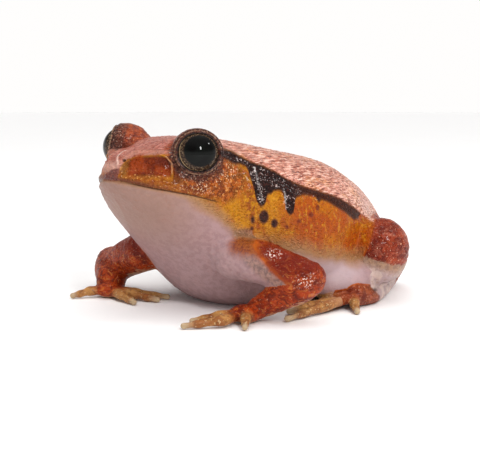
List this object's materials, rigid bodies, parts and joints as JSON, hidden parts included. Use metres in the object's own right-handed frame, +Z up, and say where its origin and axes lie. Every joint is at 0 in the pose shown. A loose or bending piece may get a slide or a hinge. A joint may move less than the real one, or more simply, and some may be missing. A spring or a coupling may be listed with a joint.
{
  "type": "tomato frog",
  "caption": "Life-size model of a tomato frog sitting with its chest raised, its belly, hands and folded hind feet flat on the floor.",
  "frame": {"origin": "middle of the bounding box's underside, on the floor", "axes": "+Y from the snout to the vent, +X to the frog's left, +Z up"},
  "size_m": [0.0716, 0.0852, 0.0413],
  "materials": {
    "skin_orange": "moist, finely granular orange skin",
    "skin_red": "moist red-brown skin",
    "skin_tan": "moist tan skin",
    "eye": "wet dark eye"
  },
  "bodies": {
    "root": {"head": "skin_orange", "torso": "skin_orange", "eye_left": "eye", "eye_right": "eye", "upper_arm_left": "skin_red", "upper_arm_right": "skin_red", "forearm_left": "skin_red", "forearm_right": "skin_red", "hand_left": "skin_tan", "hand_right": "skin_tan", "thigh_left": "skin_red", "thigh_right": "skin_red", "shank_left": "skin_red", "shank_right": "skin_red", "foot_left": "skin_tan", "foot_right": "skin_tan"}
  },
  "joints": []
}
